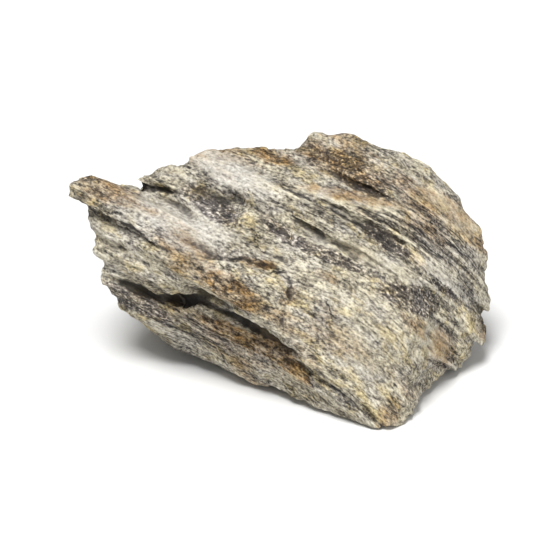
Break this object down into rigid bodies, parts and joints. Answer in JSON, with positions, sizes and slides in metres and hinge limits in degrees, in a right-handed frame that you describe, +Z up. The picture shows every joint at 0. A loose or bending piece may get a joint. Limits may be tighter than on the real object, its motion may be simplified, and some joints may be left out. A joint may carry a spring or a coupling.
{
  "type": "fossil aquascape stone",
  "caption": "Angular chunk of banded, wood-like rock with layered ledges and a flat broken underside, laid in an aquarium or terrarium as decoration.",
  "frame": {"origin": "under the middle of the stone's bounding box, on the surface it lies on", "axes": "+Z up; +X to the right as seen from the broad front face, along the stone's length; +Y to the back"},
  "size_m": [0.1496, 0.1084, 0.0804],
  "materials": {
    "stone": "rough, broken and matt, light beige-grey with darker grey bands and rust-brown stains"
  },
  "bodies": {
    "root": {"stone": "stone"}
  },
  "joints": []
}
